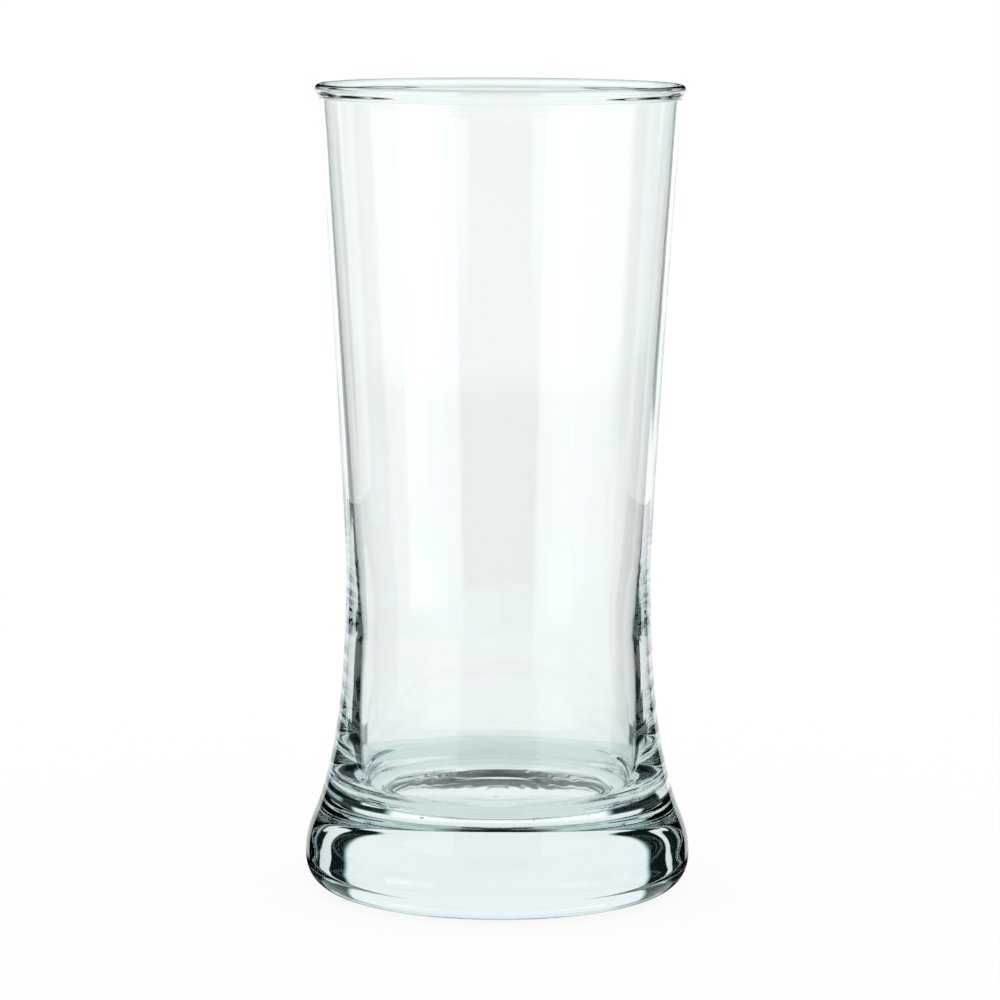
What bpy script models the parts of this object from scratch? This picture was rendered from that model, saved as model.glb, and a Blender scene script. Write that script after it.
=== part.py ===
"""Highball glass: one moulded body of clear glass, turned about the +Z axis.

Metres, +Z up. The origin is on the axis, in the plane that the glass stands on.
A section is a list of (radius, height) points. It runs from the middle of the inner
floor out and up the inside, over the rim, down the outside and under the base.
"""

import math

import bpy
from mathutils import Vector
from mathutils.geometry import interpolate_bezier

# Rim: a round fire-polished bead that stands proud of the outer wall
HEIGHT = 0.150
RIM_RADIUS = 0.0342
RIM_ROUND = 0.00095
RIM_OVERHANG = 0.00085
RIM_NECK = 0.0017
RIM_UNDERCUT = math.radians(45)

# Outer wall: flares from the waist up to the rim and down to the belt of the base
WAIST_RADIUS = 0.0284
WAIST_HEIGHT = 0.060
WAIST_EASE_UP = 0.009
WAIST_EASE_DOWN = 0.0205
RIM_FLARE = math.radians(3.8)
RIM_EASE = 0.025

# Base: the flare turns over at a shoulder, runs out to the belt and round the heel
BELT_RADIUS = 0.0359
SHOULDER_DEPTH = 0.00165
SHOULDER_RISE = 0.0076
SHOULDER_LEAN = math.radians(22.3)
SHOULDER_EASE = 0.0102
BELT_EASE = 0.003
HEEL_RISE = 0.0066
HEEL_REACH = 0.0065
HEEL_DROP = 0.0050
HEEL_RUN = 0.0026

# Underside: a narrow bearing ring around a shallow hollow with a sloping flank and a flat crown
BEARING_WIDTH = 0.0015
HOLLOW_DEPTH = 0.0035
FLANK_RUN = 0.0083
FLANK_RISE = 0.0037
HOLLOW_FLAT = 0.0270

# Inside: a dished floor with a rounded corner, a bore that draws in a little, and a flare
WAIST_WALL = 0.00275
BORE_TOP = 0.048
BORE_SPREAD = 0.0007
BORE_EASE = 0.005
INNER_EASE = 0.030
FLOOR_HEIGHT = 0.0162
FLOOR_ROUND = 0.0056
FLOOR_DISH = 0.0015
FLOOR_FLAT = 0.0140
FLOOR_LIP = 0.0103

# Facets of the turned solid
AROUND = 64
CURVE_POINTS = 5
HEEL_POINTS = 7
FLARE_POINTS = 7
NECK_POINTS = 3
TURN_MERGE = 0.00001

GLASS_TINT = (0.90, 0.95, 0.93, 1.0)
GLASS_ROUGHNESS = 0.02
GLASS_IOR = 1.52


def arc(centre, radius, start, end, points):
    """Points on a circle of the section, from one angle to another."""
    angles = [start + (end - start) * i / (points - 1) for i in range(points)]
    return [centre + Vector((math.cos(a), math.sin(a))) * radius for a in angles]


def sweep(start, start_pull, end, end_pull, points):
    """A smooth curve between two points, leaving and arriving along the given pulls."""
    return interpolate_bezier(start, start + start_pull, end + end_pull, end, points)


def rim_bead(centre):
    """The bead from its inner side over the crown to where it turns under."""
    inner = arc(centre, RIM_ROUND, math.pi, math.pi / 2, CURVE_POINTS)
    outer = arc(centre, RIM_ROUND, math.pi / 2, -RIM_UNDERCUT, CURVE_POINTS)
    return inner[:-1] + outer


def inside(bead_inner):
    """Floor, corner round, bore and flared inner wall, up to the bead."""
    bore = WAIST_RADIUS - WAIST_WALL
    foot = bore + BORE_SPREAD
    flat = foot - FLOOR_ROUND
    floor = sweep(Vector((0, FLOOR_HEIGHT - FLOOR_DISH)), Vector((FLOOR_FLAT, 0)),
                  Vector((flat, FLOOR_HEIGHT)), Vector((-FLOOR_LIP, 0)), FLARE_POINTS)
    corner = Vector((flat, FLOOR_HEIGHT + FLOOR_ROUND))
    round_up = arc(corner, FLOOR_ROUND, -math.pi / 2, 0, CURVE_POINTS)
    rise = Vector((0, (BORE_TOP - corner.y) / 3))
    wall = sweep(Vector((foot, corner.y)), rise, Vector((bore, BORE_TOP)), -rise, CURVE_POINTS)
    lean = Vector((-math.tan(RIM_FLARE), -1)) * INNER_EASE
    flare = sweep(Vector((bore, BORE_TOP)), Vector((0, BORE_EASE)), bead_inner, lean, FLARE_POINTS)
    return floor[:-1] + round_up + wall[1:-1] + flare


def outside(bead_under):
    """Neck under the bead, both flares of the wall, shoulder, belt and heel."""
    neck = Vector((RIM_RADIUS - RIM_OVERHANG, HEIGHT - RIM_ROUND - RIM_NECK))
    waist = Vector((WAIST_RADIUS, WAIST_HEIGHT))
    belt = Vector((BELT_RADIUS, HEEL_RISE))
    shoulder = belt + Vector((-SHOULDER_DEPTH, SHOULDER_RISE))
    under_pull = Vector((-math.sin(RIM_UNDERCUT), -math.cos(RIM_UNDERCUT))) * RIM_ROUND / 2
    flare_pull = Vector((math.tan(RIM_FLARE), 1))
    shoulder_pull = Vector((-math.tan(SHOULDER_LEAN), 1))
    under = sweep(bead_under, under_pull, neck, flare_pull * RIM_ROUND / 2, NECK_POINTS)
    upper = sweep(neck, -flare_pull * RIM_EASE, waist, Vector((0, WAIST_EASE_UP)), FLARE_POINTS)
    lower = sweep(waist, Vector((0, -WAIST_EASE_DOWN)), shoulder, shoulder_pull * SHOULDER_EASE,
                  FLARE_POINTS)
    turn = sweep(shoulder, -shoulder_pull * BELT_EASE, belt, Vector((0, BELT_EASE)), CURVE_POINTS)
    bearing = Vector((BELT_RADIUS - HEEL_REACH, 0))
    heel = sweep(belt, Vector((0, -HEEL_DROP)), bearing, Vector((HEEL_RUN, 0)), HEEL_POINTS)
    return under[1:-1] + upper[:-1] + lower[:-1] + turn[:-1] + heel


def underside():
    """Bearing ring and the shallow hollow inside it, in to the axis."""
    edge = Vector((BELT_RADIUS - HEEL_REACH - BEARING_WIDTH, 0))
    crown = Vector((0, HOLLOW_DEPTH))
    flank = Vector((-FLANK_RUN, FLANK_RISE))
    return sweep(edge, flank, crown, Vector((HOLLOW_FLAT, 0)), FLARE_POINTS)


def glass_section():
    bead = rim_bead(Vector((RIM_RADIUS - RIM_ROUND, HEIGHT - RIM_ROUND)))
    return inside(bead[0]) + bead[1:] + outside(bead[-1]) + underside()


def glass_material():
    material = bpy.data.materials.new("clear_glass")
    material.use_nodes = True
    shader = material.node_tree.nodes["Principled BSDF"]
    shader.inputs["Base Color"].default_value = GLASS_TINT
    shader.inputs["Roughness"].default_value = GLASS_ROUGHNESS
    shader.inputs["Metallic"].default_value = 0.0
    shader.inputs["IOR"].default_value = GLASS_IOR
    shader.inputs["Transmission Weight"].default_value = 1.0
    return material


def turned(name, section, material):
    """A body of revolution about Z, from a section at +X that ends on the axis."""
    points = [(p.x, 0.0, p.y) for p in section]
    edges = [(i, i + 1) for i in range(len(points) - 1)]
    mesh = bpy.data.meshes.new(name)
    mesh.from_pydata(points, edges, [])
    mesh.materials.append(material)
    body = bpy.data.objects.new(name, mesh)
    bpy.context.scene.collection.objects.link(body)
    screw = body.modifiers.new("turn", "SCREW")
    screw.axis = "Z"
    screw.angle = math.tau
    screw.steps = AROUND
    screw.render_steps = AROUND
    screw.use_merge_vertices = True
    screw.merge_threshold = TURN_MERGE
    screw.use_smooth_shade = True
    return body


def main():
    for old in list(bpy.data.objects):
        bpy.data.objects.remove(old, do_unlink=True)
    turned("glass_body", glass_section(), glass_material())


main()
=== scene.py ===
"""Looks of the highball glass: its body turned fine in clear glass, in a bright studio.

Metres, +Z up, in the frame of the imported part: the glass stands on z = 0 and its axis is Z.
A section is a list of (radius, height) points. It runs from the middle of the inner floor
out and up the inside, over the rim, down the outside and under the base.
"""

import math
from collections import namedtuple

import bmesh
import bpy
from mathutils import Matrix, Vector, noise
from mathutils.geometry import interpolate_bezier


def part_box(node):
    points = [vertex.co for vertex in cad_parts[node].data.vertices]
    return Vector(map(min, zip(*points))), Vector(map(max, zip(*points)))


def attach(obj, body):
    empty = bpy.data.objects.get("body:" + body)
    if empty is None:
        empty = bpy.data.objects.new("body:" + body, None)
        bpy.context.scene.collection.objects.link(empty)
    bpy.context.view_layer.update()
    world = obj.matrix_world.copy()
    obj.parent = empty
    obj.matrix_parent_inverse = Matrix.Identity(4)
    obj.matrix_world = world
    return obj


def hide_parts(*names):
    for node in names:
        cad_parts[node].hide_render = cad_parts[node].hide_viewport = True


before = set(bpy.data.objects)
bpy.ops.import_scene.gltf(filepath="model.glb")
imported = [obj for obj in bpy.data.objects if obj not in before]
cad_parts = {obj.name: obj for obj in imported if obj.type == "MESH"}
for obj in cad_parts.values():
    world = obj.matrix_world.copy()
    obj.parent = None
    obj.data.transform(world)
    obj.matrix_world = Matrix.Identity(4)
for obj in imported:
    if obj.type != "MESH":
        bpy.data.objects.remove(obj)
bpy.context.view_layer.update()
GLASS_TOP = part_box("glass_body")[1]

# Rim: a round fire-polished bead that stands proud of the outer wall
HEIGHT = GLASS_TOP.z
RIM_RADIUS = 0.0342
RIM_ROUND = 0.00095
RIM_OVERHANG = 0.00085
RIM_NECK = 0.0017
RIM_UNDERCUT = math.radians(35)

# Outer wall: flares from the waist up to the rim and down to the belt of the base
WAIST_RADIUS = 0.0284
WAIST_HEIGHT = 0.060
WAIST_EASE_UP = 0.009
WAIST_EASE_DOWN = 0.0205
RIM_FLARE = math.radians(3.8)
RIM_EASE = 0.025

# Base: the flare turns over at a shoulder, runs out to the belt and round the heel
BELT_RADIUS = GLASS_TOP.x
SHOULDER_DEPTH = 0.00165
SHOULDER_RISE = 0.0076
SHOULDER_LEAN = math.radians(22.3)
SHOULDER_EASE = 0.0102
BELT_EASE = 0.003
HEEL_RISE = 0.0066
HEEL_REACH = 0.0065
HEEL_DROP = 0.0050
HEEL_RUN = 0.0026

# Underside: a narrow bearing ring around a shallow hollow with a sloping flank and a flat crown
BEARING_WIDTH = 0.0015
HOLLOW_DEPTH = 0.0035
FLANK_RUN = 0.0083
FLANK_RISE = 0.0037
HOLLOW_FLAT = 0.0270

# Inside: a dished floor with a rounded corner, a bore that draws in a little, and a flare
WAIST_WALL = 0.00275
BORE_TOP = 0.048
BORE_SPREAD = 0.0007
BORE_EASE = 0.005
INNER_EASE = 0.030
FLOOR_HEIGHT = 0.0162
FLOOR_ROUND = 0.0056
FLOOR_DISH = 0.0015
FLOOR_FLAT = 0.0140
FLOOR_LIP = 0.0103

# How finely the body is turned: faces around, and points along short to broad stretches
AROUND = 288
FINE = 24
CLOSE = 40
LONG = 72
BROAD = 120

# Clear glass, faintly green where it is thick, with uneven polish and a slight skin
GLASS_IOR = 1.52
ABSORB_COLOR = (0.774, 0.909, 0.921, 1.0)
ABSORB_DENSITY = 6.0
CLEAREST = (1.0, 1.0, 1.0, 1.0)
CLEAREST_FROM = 0.5
CLOUDIEST = (0.965, 0.985, 0.98, 1.0)
CLOUD_SCALE = 45.0
CLOUD_DETAIL = 3.0
POLISH_SCALE = 130.0
POLISH_DETAIL = 4.0
POLISHED_BELOW = 0.55
ROUGHEST_ABOVE = 0.75
ROUGHEST = 0.003
SKIN_SCALE = 700.0
SKIN_DETAIL = 2.0
SKIN_DEPTH = 0.000002

# Waver of the walls, most of all low down, with its own pattern on the inside
WAVER = 0.000004
LOW_WAVER = 0.000014
LOW_WAVER_FROM = 0.022
LOW_WAVER_TO = 0.062
WAVER_WIDE = 0.006
WAVER_TALL = 0.008
WAVER_EDGE = 0.006
INNER_PATTERN = 50

# Rings on the inner floor, a dent in the wall and bubbles in the base
RING_SIZE = 0.000012
RING_PITCH = 0.0026
RING_REACH = 0.0195
RING_TOP = FLOOR_HEIGHT + FLOOR_ROUND / 4
RING_STRAY = 2.0
RING_BLOT = 0.009
DENT_PLACE = Vector((0.0238, -0.0200, 0.107))
DENT_RADIUS = 0.0014
DENT_DEPTH = 0.00003
Bubble = namedtuple("Bubble", "x y z radius")
BUBBLES = (
    Bubble(-0.0003, -0.0050, 0.0141, 0.00055),
    Bubble(-0.0118, -0.0160, 0.0153, 0.00035),
    Bubble(0.0052, -0.0110, 0.0138, 0.00016),
    Bubble(-0.0061, -0.0085, 0.0136, 0.00014),
    Bubble(0.0109, -0.0062, 0.0142, 0.00018),
    Bubble(-0.0090, 0.0031, 0.0130, 0.00013),
    Bubble(0.0034, -0.0142, 0.0147, 0.00015),
    Bubble(0.0137, -0.0121, 0.0149, 0.00014),
)
BUBBLE_FLATNESS = 0.6
BUBBLE_FINENESS = 3

# Camera: the height, pull-back and tilt that the photograph was taken with
CAMERA_BACK = 0.8214
CAMERA_HEIGHT = 0.1795
CAMERA_DOWN = math.radians(7.396)
CAMERA_ROLL = math.radians(0.25)
SENSOR = 36.0
LENS = 160.34
CAMERA_SHIFT = 0.0013

# Panels of the studio, in degrees: left and right are azimuths, where 0 is behind the glass and
# the left is negative, and low and high are elevations. Soft and fade are how far the edges blur
# either way, at the sides and at the ends.
Panel = namedtuple("Panel", "left right low high level soft fade")


def on_both_sides(name, panel):
    """A panel on the right and its mirror image on the left."""
    image = panel._replace(left=-panel.right, right=-panel.left)
    return {"left_" + name: image, "right_" + name: panel}


# Panels that draw together towards the top
ARCHED = {
    "backdrop": Panel(-39, 39, -1, 90, 0.98, 1.6, 1.6),
    "left_strip": Panel(-54.5, -50, 8, 90, 1.0, 0.6, 0.6),
    "right_strip": Panel(48, 56.7, 8, 90, 1.0, 0.6, 0.6),
}
ARCH = 0.25
ARCH_FROM = 9.85

# Upright panels that light reaches through the glass
SEEN_THROUGH = {
    "upper_backdrop": Panel(-26, 25, -8.5, 4, 1.10, 2.0, 2.5),
    "middle_backdrop": Panel(-9, 9, -22, -4, 1.02, 6.0, 1.5),
    "left_backdrop": Panel(-32.5, 5, -18.6, -11.5, 0.98, 1.2, 0.4),
    "right_backdrop": Panel(-5, 31.5, -17.9, -11.5, 0.98, 1.2, 0.4),
    "right_backdrop_top": Panel(15, 35.5, -14, -9.3, 0.98, 1.2, 0.5),
    "side_backdrop": Panel(-26, 25, -17.9, -4, 1.0, 2.0, 1.5),
    "low_backdrop": Panel(-26.5, 25.5, -19.2, -15, 0.98, 0.6, 0.4),
    "lowest_backdrop": Panel(-20.5, 19.5, -25.5, -17, 0.96, 1.0, 0.8),
    "floor_backdrop": Panel(-33, 25.5, -36, -24.5, 0.86, 1.0, 1.0),
    "left_side": Panel(-78, -51, -20, -3, 1.0, 1.5, 1.0),
    "right_side": Panel(46, 80, -10, -3, 0.5, 2.0, 1.0),
    "top_middle": Panel(-3.6, 3.6, 19, 43, 0.85, 0.6, 1.0),
    "left_top_panel": Panel(-28, -10.5, 31, 50, 0.55, 1.5, 1.5),
    "right_top_panel": Panel(13, 28, 31, 50, 0.5, 1.5, 1.5),
    **on_both_sides("high_panel", Panel(9, 60, 40, 63, 0.75, 1.5, 1.5)),
    **on_both_sides("high_ring", Panel(45, 151, 25, 64, 0.75, 1.5, 1.5)),
    **on_both_sides("side_ring", Panel(52, 82, 17, 27, 0.75, 1.5, 1.5)),
    "left_window": Panel(-150, -76, -20, 4, 0.95, 2.0, 1.0),
    "left_window_top": Panel(-158, -78, 2, 18, 0.9, 2.0, 2.0),
    "right_window": Panel(80, 150, -35, 4, 0.95, 2.0, 1.0),
    "right_window_top": Panel(106, 158, 2, 18, 0.9, 2.0, 2.0),
    **on_both_sides("front", Panel(148, 190, 11, 28, 0.8, 2.0, 2.0)),
    "left_table": Panel(-62, -53, -36, -20, 0.92, 1.0, 1.0),
    "left_table_side": Panel(-90, -60, -36, -20, 0.6, 1.0, 1.0),
    "left_table_front": Panel(-190, -88, -36, -20, 0.75, 1.0, 1.0),
    "right_table": Panel(48, 90, -36, -21, 0.4, 1.0, 1.0),
    "right_table_near": Panel(26, 41, -36, -22, 0.8, 1.0, 1.0),
    "right_table_front": Panel(88, 190, -36, -21, 0.75, 1.0, 1.0),
    "table": Panel(-190, 190, -100, -33, 0.8, 1.0, 1.0),
}

# Panels that are mirrored in the glass
MIRRORED = {
    "surround": Panel(-72, 72, -12, 2, 1.0, 3.0, 1.0),
    "left_softbox": Panel(-129, -110, -12.5, -7.5, 1.6, 1.0, 1.5),
    "left_softbox_side": Panel(-142, -128, -12.5, -7.5, 1.0, 1.5, 1.5),
    "right_softbox": Panel(124, 142, -12.5, -7.5, 1.0, 1.0, 1.5),
    "right_softbox_side": Panel(94, 150, -12.5, -7.5, 0.45, 1.5, 1.5),
    **on_both_sides("high_ring", Panel(28, 151, 25, 64, 0.75, 1.5, 1.5)),
    "table": Panel(-190, 190, -100, -24, 0.8, 1.0, 1.0),
}

# Light of the studio: level between the panels, tint at each level, and light on the floor
DARK_ROOM = 0.010
STUDIO_TINTS = (
    (0.0, (0.30, 0.86, 1.0, 1.0)),
    (0.35, (0.66, 0.97, 1.0, 1.0)),
    (0.75, (0.82, 0.985, 0.985, 1.0)),
    (1.0, (0.95, 0.995, 1.0, 1.0)),
)
WHITE = (1.0, 1.0, 1.0, 1.0)
AMBIENT = 1.03

# Dark cards low on either side, seen only as reflections in the glass
CARD_NEAR = Vector((0.116, 0.165))
CARD_FAR = Vector((0.205, 0.0))
CARD_TOP = 0.045
CARD_FOOT = -0.06
CARD_COLOR = (0.004, 0.004, 0.004, 1.0)

# Floor: pale, and clear from some way out
FLOOR_COLOR = (0.96, 0.96, 0.96, 1.0)
FLOOR_ROUGHNESS = 0.9
FLOOR_WHITENESS = 0.9
FLOOR_SIZE = 0.6
FLOOR_SIDES = 64
FLOOR_CLEAR_FROM = 0.25
FLOOR_CLEAR_TO = 0.5

# How often light may turn on its way through the thick base
MOST_BOUNCES = 32
MIRROR_BOUNCES = 24
THROUGH_BOUNCES = 32


def arc(centre, radius, start, end, points):
    """Points on a circle of the section, from one angle to another."""
    angles = [start + (end - start) * i / (points - 1) for i in range(points)]
    return [centre + Vector((math.cos(a), math.sin(a))) * radius for a in angles]


def sweep(start, start_pull, end, end_pull, points):
    """A smooth curve between two points, leaving and arriving along the given pulls."""
    return interpolate_bezier(start, start + start_pull, end + end_pull, end, points)


def rim_bead(centre):
    """The bead from its inner side over the crown to where it turns under."""
    inner = arc(centre, RIM_ROUND, math.pi, math.pi / 2, FINE)
    outer = arc(centre, RIM_ROUND, math.pi / 2, -RIM_UNDERCUT, FINE)
    return inner[:-1] + outer


def inside(bead_inner):
    """Floor, corner round, bore and flared inner wall, up to the bead."""
    bore = WAIST_RADIUS - WAIST_WALL
    foot = bore + BORE_SPREAD
    flat = foot - FLOOR_ROUND
    floor = sweep(Vector((0, FLOOR_HEIGHT - FLOOR_DISH)), Vector((FLOOR_FLAT, 0)),
                  Vector((flat, FLOOR_HEIGHT)), Vector((-FLOOR_LIP, 0)), BROAD)
    corner = Vector((flat, FLOOR_HEIGHT + FLOOR_ROUND))
    round_up = arc(corner, FLOOR_ROUND, -math.pi / 2, 0, FINE)
    rise = Vector((0, (BORE_TOP - corner.y) / 3))
    wall = sweep(Vector((foot, corner.y)), rise, Vector((bore, BORE_TOP)), -rise, FINE)
    lean = Vector((-math.tan(RIM_FLARE), -1)) * INNER_EASE
    flare = sweep(Vector((bore, BORE_TOP)), Vector((0, BORE_EASE)), bead_inner, lean, LONG)
    return floor[:-1] + round_up + wall[1:-1] + flare


def outside(bead_under):
    """Neck under the bead, both flares of the wall, shoulder, belt and heel."""
    neck = Vector((RIM_RADIUS - RIM_OVERHANG, HEIGHT - RIM_ROUND - RIM_NECK))
    waist = Vector((WAIST_RADIUS, WAIST_HEIGHT))
    belt = Vector((BELT_RADIUS, HEEL_RISE))
    shoulder = belt + Vector((-SHOULDER_DEPTH, SHOULDER_RISE))
    under_pull = Vector((-math.sin(RIM_UNDERCUT), -math.cos(RIM_UNDERCUT))) * RIM_ROUND / 2
    flare_pull = Vector((math.tan(RIM_FLARE), 1))
    shoulder_pull = Vector((-math.tan(SHOULDER_LEAN), 1))
    under = sweep(bead_under, under_pull, neck, flare_pull * RIM_ROUND / 2, FINE)
    upper = sweep(neck, -flare_pull * RIM_EASE, waist, Vector((0, WAIST_EASE_UP)), LONG)
    lower = sweep(waist, Vector((0, -WAIST_EASE_DOWN)), shoulder, shoulder_pull * SHOULDER_EASE,
                  LONG)
    turn = sweep(shoulder, -shoulder_pull * BELT_EASE, belt, Vector((0, BELT_EASE)), FINE)
    bearing = Vector((BELT_RADIUS - HEEL_REACH, 0))
    heel = sweep(belt, Vector((0, -HEEL_DROP)), bearing, Vector((HEEL_RUN, 0)), CLOSE)
    return under[1:-1] + upper[:-1] + lower[:-1] + turn[:-1] + heel


def underside():
    """Bearing ring and the shallow hollow inside it, in to the axis."""
    edge = Vector((BELT_RADIUS - HEEL_REACH - BEARING_WIDTH, 0))
    crown = Vector((0, HOLLOW_DEPTH))
    flank = Vector((-FLANK_RUN, FLANK_RISE))
    return sweep(edge, flank, crown, Vector((HOLLOW_FLAT, 0)), LONG)


def glass_section():
    """The whole section, from the middle of the inner floor to the middle of the hollow."""
    bead = rim_bead(Vector((RIM_RADIUS - RIM_ROUND, HEIGHT - RIM_ROUND)))
    return inside(bead[0]) + bead[1:] + outside(bead[-1]) + underside()


def ease(value, start, end):
    """Runs smoothly from 0 at start to 1 at end."""
    share = min(max((value - start) / (end - start), 0.0), 1.0)
    return share * share * (3 - 2 * share)


def waver(point, inner):
    """How far a wall strays in or out at a point, most of all low down."""
    low = ease(point.z, LOW_WAVER_FROM - WAVER_EDGE, LOW_WAVER_FROM + WAVER_EDGE)
    low *= ease(point.z, LOW_WAVER_TO + WAVER_EDGE, LOW_WAVER_TO - WAVER_EDGE)
    ends = ease(point.z, 0, 2 * WAVER_EDGE) * ease(point.z, HEIGHT - RIM_NECK, HEIGHT - WAVER_EDGE)
    tall = point.z / WAVER_TALL + INNER_PATTERN * inner
    spot = Vector((point.x / WAVER_WIDE, point.y / WAVER_WIDE, tall))
    return noise.noise(spot) * (WAVER + LOW_WAVER * low) * ends


def floor_rings(point):
    """Height of the faint rings that moulding leaves on the inner floor."""
    away = point.to_2d().length
    blot = noise.noise(point / RING_BLOT)
    inside_floor = ease(away, RING_REACH, RING_REACH - RING_PITCH) * ease(away, 0, RING_PITCH)
    ripple = math.sin(math.tau * away / RING_PITCH + RING_STRAY * blot)
    return RING_SIZE * (1 + blot) * ripple * inside_floor


def uneven(point, inner):
    """The point of the true body moved to where the moulded glass has it."""
    outward = Vector((point.x, point.y, 0)).normalized()
    moved = point + outward * waver(point, inner)
    if inner and point.z < RING_TOP:
        moved.z += floor_rings(point)
    if not inner:
        near = (point - DENT_PLACE).length / DENT_RADIUS
        moved -= outward * DENT_DEPTH * math.exp(-near * near)
    return moved


def add_bubbles(shape):
    """Closed hollows in the glass, facing inwards."""
    flatten = Matrix.Diagonal((1, 1, BUBBLE_FLATNESS, 1))
    for bubble in BUBBLES:
        place = Matrix.Translation((bubble.x, bubble.y, bubble.z)) @ flatten
        made = bmesh.ops.create_icosphere(shape, subdivisions=BUBBLE_FINENESS,
                                          radius=bubble.radius, matrix=place)
        faces = {face for vert in made["verts"] for face in vert.link_faces}
        bmesh.ops.reverse_faces(shape, faces=list(faces))


def turned(name, section, material):
    """A closed body of revolution about Z, from a section that starts and ends on the axis."""
    mesh = bpy.data.meshes.new(name)
    shape = bmesh.new()
    crown = max(range(len(section)), key=lambda i: section[i].y)
    middle = [shape.verts.new((0, 0, p.y)) for p in (section[0], section[-1])]
    turns = [Matrix.Rotation(math.tau * i / AROUND, 3, "Z") for i in range(AROUND)]
    rings = [[shape.verts.new(uneven(t @ Vector((p.x, 0, p.y)), n < crown)) for t in turns]
             for n, p in enumerate(section[1:-1], 1)]
    for i in range(AROUND):
        j = (i + 1) % AROUND
        shape.faces.new((middle[0], rings[0][i], rings[0][j]))
        shape.faces.new((middle[1], rings[-1][j], rings[-1][i]))
        for ring, other in zip(rings, rings[1:]):
            shape.faces.new((ring[i], other[i], other[j], ring[j]))
    bmesh.ops.recalc_face_normals(shape, faces=shape.faces)
    add_bubbles(shape)
    shape.to_mesh(mesh)
    shape.free()
    mesh.shade_smooth()
    mesh.materials.append(material)
    body = bpy.data.objects.new(name, mesh)
    bpy.context.scene.collection.objects.link(body)
    return body


def maths(tree, operation, *values):
    """A Math node fed by numbers or sockets."""
    node = tree.nodes.new("ShaderNodeMath")
    node.operation = operation
    for socket, value in zip(node.inputs, values):
        if isinstance(value, bpy.types.NodeSocket):
            tree.links.new(value, socket)
        else:
            socket.default_value = value
    return node.outputs["Value"]


def ramp(tree, value, start, end):
    """Runs smoothly from 0 at start to 1 at end."""
    node = tree.nodes.new("ShaderNodeMapRange")
    node.interpolation_type = "SMOOTHSTEP"
    tree.links.new(value, node.inputs["Value"])
    node.inputs["From Min"].default_value = start
    node.inputs["From Max"].default_value = end
    return node.outputs["Result"]


def noise_node(tree, scale, detail):
    """Noise fixed to the object, with its scale in spots to the metre."""
    node = tree.nodes.new("ShaderNodeTexNoise")
    node.inputs["Scale"].default_value = scale
    node.inputs["Detail"].default_value = detail
    place = tree.nodes.new("ShaderNodeTexCoord")
    tree.links.new(place.outputs["Object"], node.inputs["Vector"])
    return node.outputs["Fac"]


def glass_material():
    """Clear glass with a faint cloudiness, uneven polish and a slight skin."""
    material = bpy.data.materials.new("clear_glass")
    material.use_nodes = True
    tree = material.node_tree
    shader = tree.nodes["Principled BSDF"]
    shader.inputs["IOR"].default_value = GLASS_IOR
    shader.inputs["Transmission Weight"].default_value = 1.0
    cloud = tree.nodes.new("ShaderNodeValToRGB")
    cloud.color_ramp.elements[0].color = CLOUDIEST
    cloud.color_ramp.elements[1].color = CLEAREST
    cloud.color_ramp.elements[1].position = CLEAREST_FROM
    tree.links.new(noise_node(tree, CLOUD_SCALE, CLOUD_DETAIL), cloud.inputs["Fac"])
    tree.links.new(cloud.outputs["Color"], shader.inputs["Base Color"])
    spots = noise_node(tree, POLISH_SCALE, POLISH_DETAIL)
    worn = ramp(tree, spots, POLISHED_BELOW, ROUGHEST_ABOVE)
    tree.links.new(maths(tree, "MULTIPLY", worn, ROUGHEST), shader.inputs["Roughness"])
    skin = tree.nodes.new("ShaderNodeBump")
    skin.inputs["Distance"].default_value = SKIN_DEPTH
    tree.links.new(noise_node(tree, SKIN_SCALE, SKIN_DETAIL), skin.inputs["Height"])
    tree.links.new(skin.outputs["Normal"], shader.inputs["Normal"])
    absorb = tree.nodes.new("ShaderNodeVolumeAbsorption")
    absorb.inputs["Color"].default_value = ABSORB_COLOR
    absorb.inputs["Density"].default_value = ABSORB_DENSITY
    tree.links.new(absorb.outputs["Volume"], tree.nodes["Material Output"].inputs["Volume"])
    return material


def window(tree, value, low, high, soft):
    """1 between low and high, and 0 outside, with soft edges."""
    rises = ramp(tree, value, low - soft, low + soft)
    falls = ramp(tree, value, high + soft, high - soft)
    return maths(tree, "MULTIPLY", rises, falls)


def brightest(tree, across, elevation, panels, level):
    """The highest level that any of the panels, or the level given, has in a direction."""
    for panel in panels.values():
        wide = window(tree, across, panel.left, panel.right, panel.soft)
        tall = window(tree, elevation, panel.low, panel.high, panel.fade)
        lit = maths(tree, "MULTIPLY", maths(tree, "MULTIPLY", wide, tall), panel.level)
        level = maths(tree, "MAXIMUM", lit, level)
    return level


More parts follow.
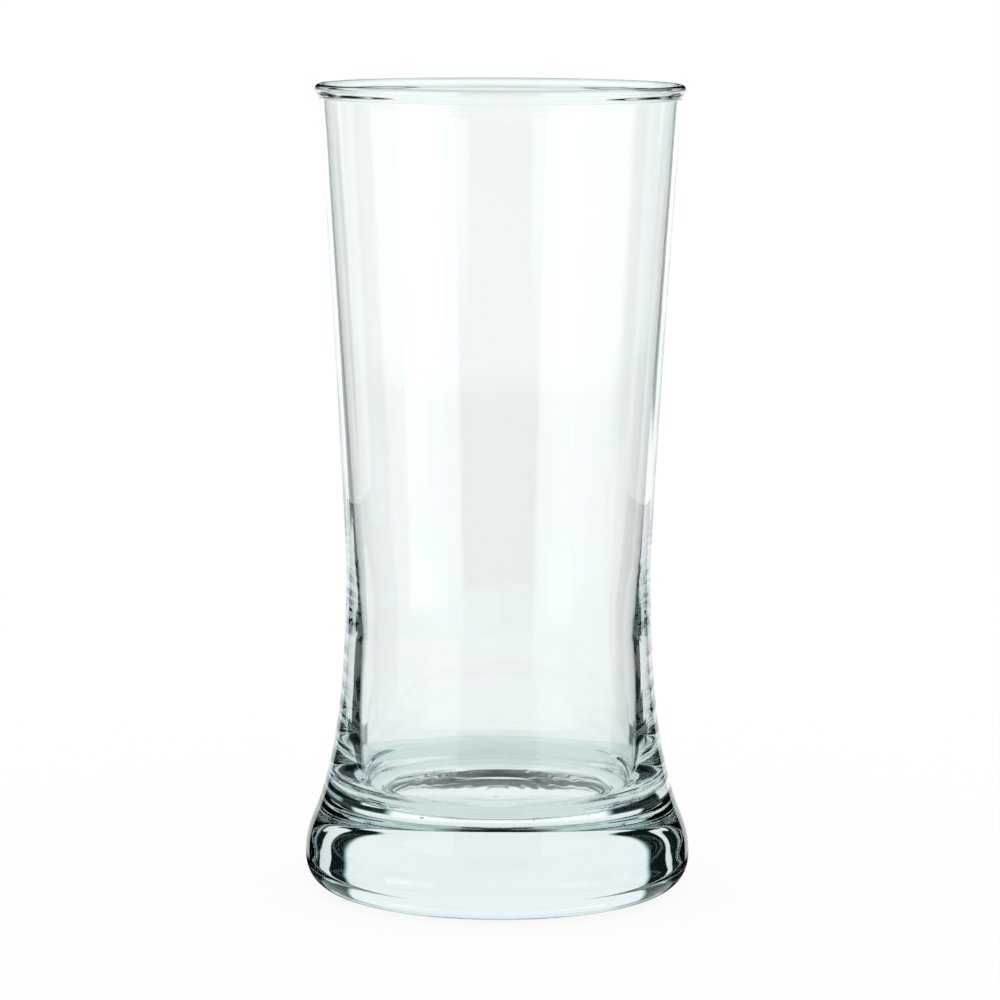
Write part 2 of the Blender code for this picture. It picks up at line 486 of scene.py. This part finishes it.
def studio_level(tree, through):
    """How bright the studio is in each direction, through the glass or mirrored in it."""
    direction = tree.nodes.new("ShaderNodeTexCoord").outputs["Generated"]
    axes = tree.nodes.new("ShaderNodeSeparateXYZ")
    tree.links.new(direction, axes.inputs["Vector"])
    turn = maths(tree, "ARCTAN2", axes.outputs["X"], axes.outputs["Y"])
    azimuth = maths(tree, "DEGREES", turn)
    elevation = maths(tree, "DEGREES", maths(tree, "ARCSINE", axes.outputs["Z"]))
    above = maths(tree, "MAXIMUM", maths(tree, "SUBTRACT", elevation, ARCH_FROM), 0.0)
    closing = maths(tree, "MULTIPLY", maths(tree, "MULTIPLY", above, above), ARCH)
    outward = maths(tree, "MULTIPLY", maths(tree, "SIGN", azimuth), closing)
    arched = maths(tree, "ADD", azimuth, outward)
    seen = brightest(tree, arched, elevation, ARCHED, DARK_ROOM)
    seen = brightest(tree, azimuth, elevation, SEEN_THROUGH, seen)
    mirrored = brightest(tree, azimuth, elevation, MIRRORED, DARK_ROOM)
    not_through = maths(tree, "SUBTRACT", 1.0, through)
    return maths(tree, "ADD", maths(tree, "MULTIPLY", seen, through),
                 maths(tree, "MULTIPLY", mirrored, not_through))


def tint_of(tree, level):
    """The dimmer the studio is in a direction, the greener its light."""
    tint = tree.nodes.new("ShaderNodeValToRGB")
    stops = tint.color_ramp.elements
    for position, _ in STUDIO_TINTS[1:-1]:
        stops.new(position)
    for stop, (position, color) in zip(stops, STUDIO_TINTS):
        stop.position = position
        stop.color = color
    tree.links.new(level, tint.inputs["Fac"])
    return tint.outputs["Color"]


def make_world():
    """White for the camera, the studio's panels in the glass, and even light on the floor."""
    world = bpy.data.worlds.new("studio")
    bpy.context.scene.world = world
    world.use_nodes = True
    tree = world.node_tree
    background = tree.nodes["Background"]
    path = tree.nodes.new("ShaderNodeLightPath").outputs
    in_glass = maths(tree, "MAXIMUM", path["Is Glossy Ray"], path["Is Transmission Ray"])
    level = studio_level(tree, path["Is Transmission Ray"])
    seen = maths(tree, "MULTIPLY", in_glass, level)
    lighting = maths(tree, "MULTIPLY", path["Is Diffuse Ray"], AMBIENT)
    shown = maths(tree, "MAXIMUM", path["Is Camera Ray"], maths(tree, "MAXIMUM", seen, lighting))
    color = tree.nodes.new("ShaderNodeMix")
    color.data_type = "RGBA"
    plain, tinted = (socket for socket in color.inputs if socket.type == "RGBA")
    mixed = next(socket for socket in color.outputs if socket.type == "RGBA")
    plain.default_value = WHITE
    tree.links.new(in_glass, color.inputs["Factor"])
    tree.links.new(tint_of(tree, level), tinted)
    tree.links.new(mixed, background.inputs["Color"])
    tree.links.new(shown, background.inputs["Strength"])


def make_card(name, side):
    """A dark upright card on one side, hidden from all but reflections."""
    material = bpy.data.materials.new(name)
    material.use_nodes = True
    shader = material.node_tree.nodes["Principled BSDF"]
    shader.inputs["Base Color"].default_value = CARD_COLOR
    shader.inputs["Roughness"].default_value = 1.0
    shader.inputs["Specular IOR Level"].default_value = 0.0
    ends = [Vector((side * end.x, end.y)) for end in (CARD_NEAR, CARD_FAR)]
    corners = [(end.x, end.y, z) for end in ends for z in (CARD_FOOT, CARD_TOP)]
    mesh = bpy.data.meshes.new(name)
    mesh.from_pydata(corners, [], [(0, 1, 3, 2)])
    mesh.materials.append(material)
    card = bpy.data.objects.new(name, mesh)
    bpy.context.scene.collection.objects.link(card)
    card.visible_camera = False
    card.visible_diffuse = False
    card.visible_transmission = False
    card.visible_shadow = False


def floor_material():
    """Pale and matt, clearing away from the glass so that no edge shows."""
    material = bpy.data.materials.new("pale_floor")
    material.use_nodes = True
    tree = material.node_tree
    shader = tree.nodes["Principled BSDF"]
    shader.inputs["Base Color"].default_value = FLOOR_COLOR
    shader.inputs["Roughness"].default_value = FLOOR_ROUGHNESS
    shader.inputs["Specular IOR Level"].default_value = 0.0
    place = tree.nodes.new("ShaderNodeTexCoord").outputs["Object"]
    away = tree.nodes.new("ShaderNodeVectorMath")
    away.operation = "LENGTH"
    tree.links.new(place, away.inputs[0])
    clear = tree.nodes.new("ShaderNodeBsdfTransparent")
    blend = tree.nodes.new("ShaderNodeMixShader")
    fade = ramp(tree, away.outputs["Value"], FLOOR_CLEAR_FROM, FLOOR_CLEAR_TO)
    tree.links.new(fade, blend.inputs["Fac"])
    white = tree.nodes.new("ShaderNodeEmission")
    paled = tree.nodes.new("ShaderNodeMixShader")
    paled.inputs["Fac"].default_value = FLOOR_WHITENESS
    tree.links.new(shader.outputs["BSDF"], paled.inputs[1])
    tree.links.new(white.outputs["Emission"], paled.inputs[2])
    tree.links.new(paled.outputs["Shader"], blend.inputs[1])
    tree.links.new(clear.outputs["BSDF"], blend.inputs[2])
    tree.links.new(blend.outputs["Shader"], tree.nodes["Material Output"].inputs["Surface"])
    return material


def make_floor():
    """A round floor that catches the shadow and is left out of what the glass shows."""
    mesh = bpy.data.meshes.new("floor")
    shape = bmesh.new()
    bmesh.ops.create_circle(shape, cap_ends=True, segments=FLOOR_SIDES, radius=FLOOR_SIZE)
    shape.to_mesh(mesh)
    shape.free()
    mesh.materials.append(floor_material())
    floor = bpy.data.objects.new("floor", mesh)
    bpy.context.scene.collection.objects.link(floor)
    floor.visible_transmission = False
    floor.visible_glossy = False


def make_camera():
    """The photograph's view, from in front and a little above."""
    camera = bpy.data.objects.new("camera", bpy.data.cameras.new("camera"))
    bpy.context.scene.collection.objects.link(camera)
    camera.data.sensor_width = SENSOR
    camera.data.lens = LENS
    camera.data.shift_x = CAMERA_SHIFT
    camera.location = (0, -CAMERA_BACK, CAMERA_HEIGHT)
    camera.rotation_mode = "ZYX"
    camera.rotation_euler = (math.pi / 2 - CAMERA_DOWN, 0, CAMERA_ROLL)
    bpy.context.scene.camera = camera


def set_up_render():
    """Enough bounces for light to find its way out of the thick base, and plain colours."""
    cycles = bpy.context.scene.cycles
    cycles.max_bounces = MOST_BOUNCES
    cycles.glossy_bounces = MIRROR_BOUNCES
    cycles.transmission_bounces = THROUGH_BOUNCES
    bpy.context.scene.view_settings.view_transform = "Standard"


make_camera()
make_world()
make_floor()
make_card("left_card", -1)
make_card("right_card", 1)
set_up_render()

glass = turned("glass", glass_section(), glass_material())
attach(glass, "root")
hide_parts("glass_body")
